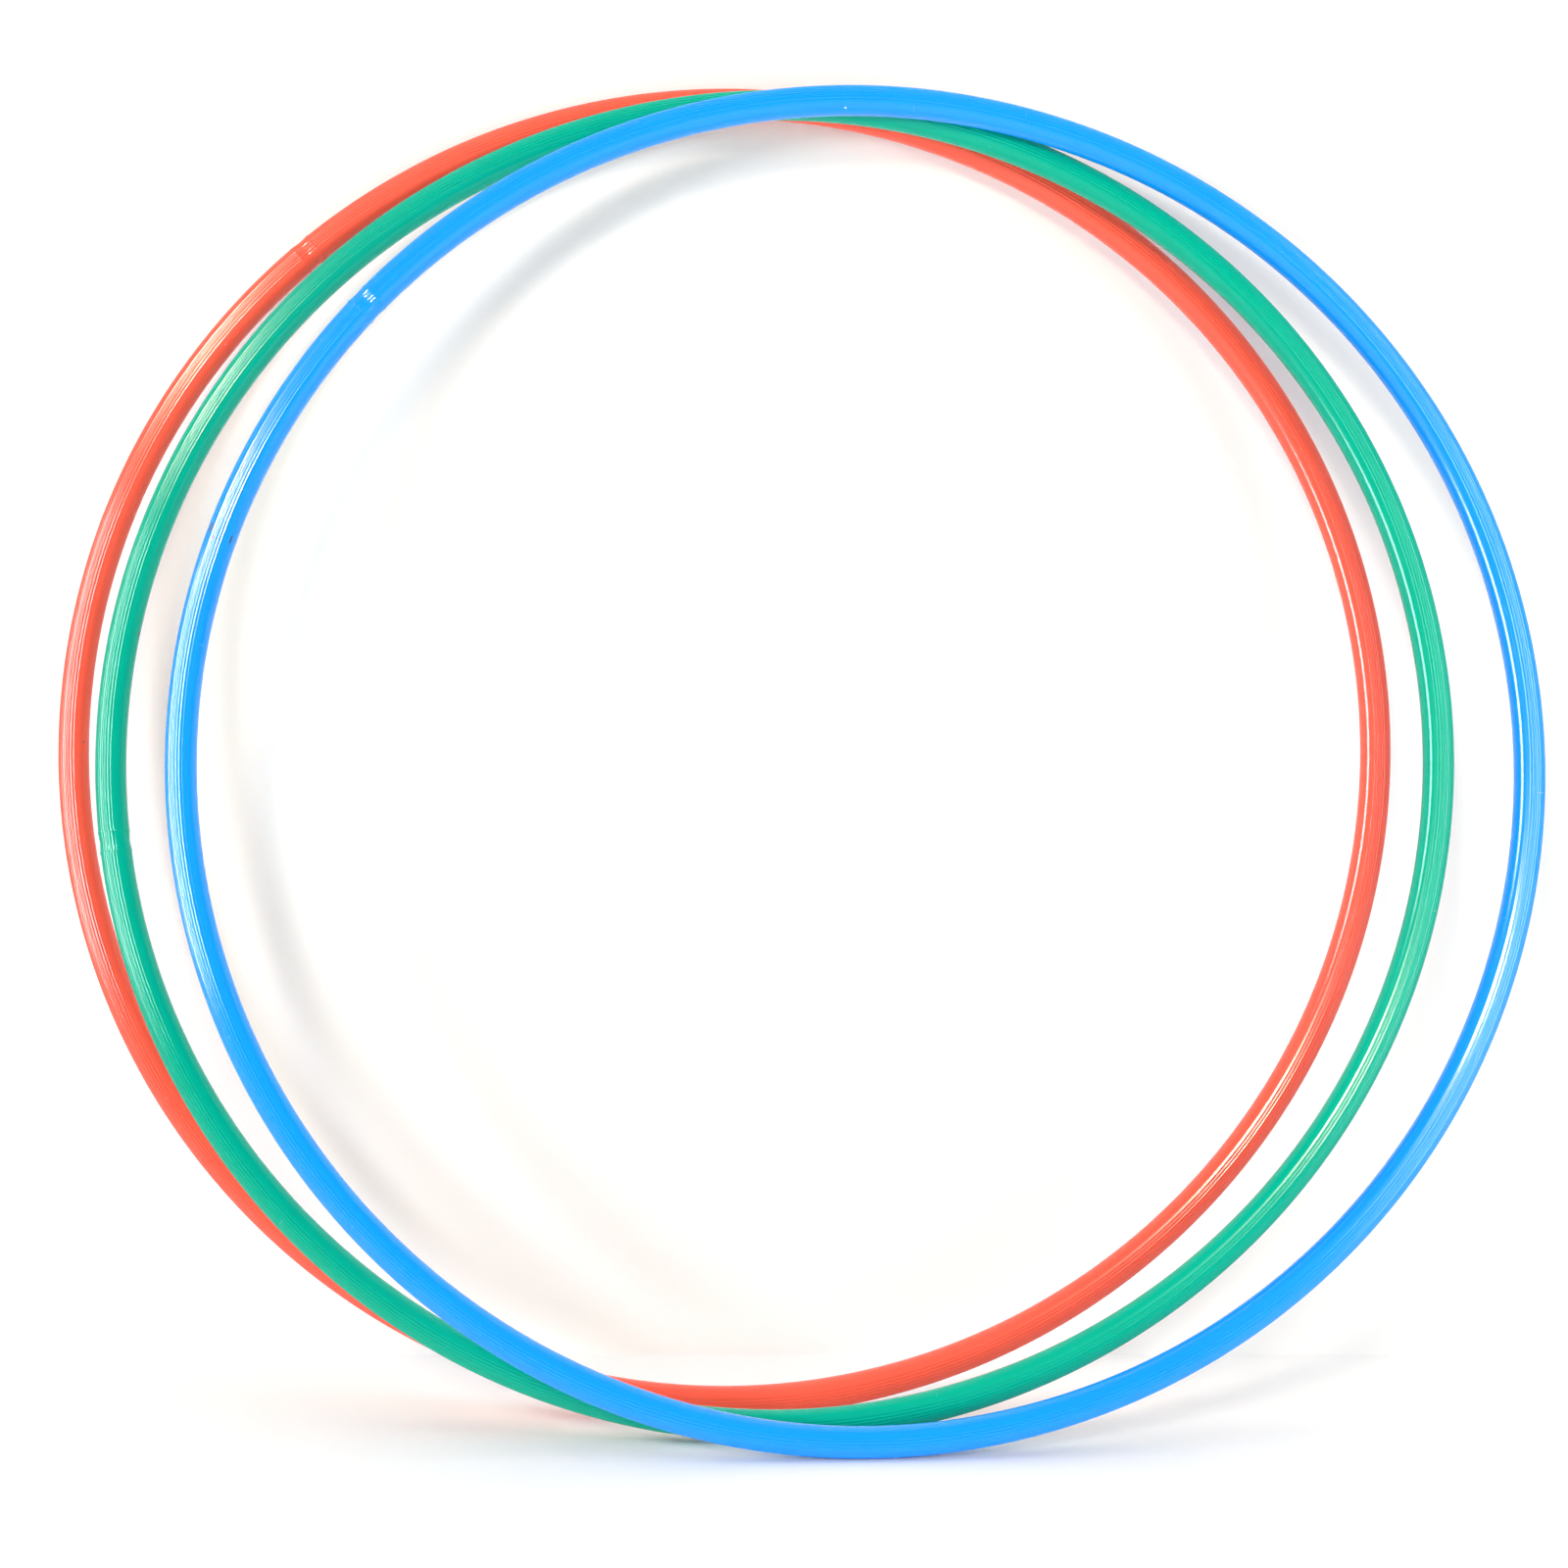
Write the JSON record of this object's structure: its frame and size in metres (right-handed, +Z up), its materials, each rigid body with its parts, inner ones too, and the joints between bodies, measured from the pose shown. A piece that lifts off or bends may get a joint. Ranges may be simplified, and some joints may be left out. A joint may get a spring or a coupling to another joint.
{
  "type": "rhythmic gymnastics hoop set",
  "caption": "Fluted plastic tube hoops in red, green and blue, each welded into a ring, standing on the floor and leaning back one against another.",
  "frame": {"origin": "on the floor, under the middle of the set's bounding box", "axes": "+X to the right and +Y backwards to the wall as the set is seen from the front, +Z up"},
  "size_m": [0.8802, 0.2052, 0.7912],
  "materials": {
    "red_plastic": "glossy red polyethylene, extruded, with fine lengthwise flutes on its outward side",
    "green_plastic": "glossy green polyethylene, extruded, with fine lengthwise flutes on its outward side",
    "blue_plastic": "glossy blue polyethylene, extruded, with fine lengthwise flutes on its outward side",
    "joiner_plastic": "plain off-white moulded plastic, hidden inside the tube"
  },
  "bodies": {
    "red_hoop": {"red_tube": "red_plastic", "red_weld": "red_plastic", "red_joiner": "joiner_plastic"},
    "green_hoop": {"green_tube": "green_plastic", "green_weld": "green_plastic", "green_joiner": "joiner_plastic"},
    "blue_hoop": {"blue_tube": "blue_plastic", "blue_weld": "blue_plastic", "blue_joiner": "joiner_plastic"}
  },
  "joints": [
    {"name": "green_pull_forward", "type": "slide", "parent": "red_hoop", "child": "green_hoop", "axis": [0, -1, 0], "range_m": [0, 0.3]},
    {"name": "blue_pull_forward", "type": "slide", "parent": "green_hoop", "child": "blue_hoop", "axis": [0, -1, 0], "range_m": [0, 0.3]}
  ]
}
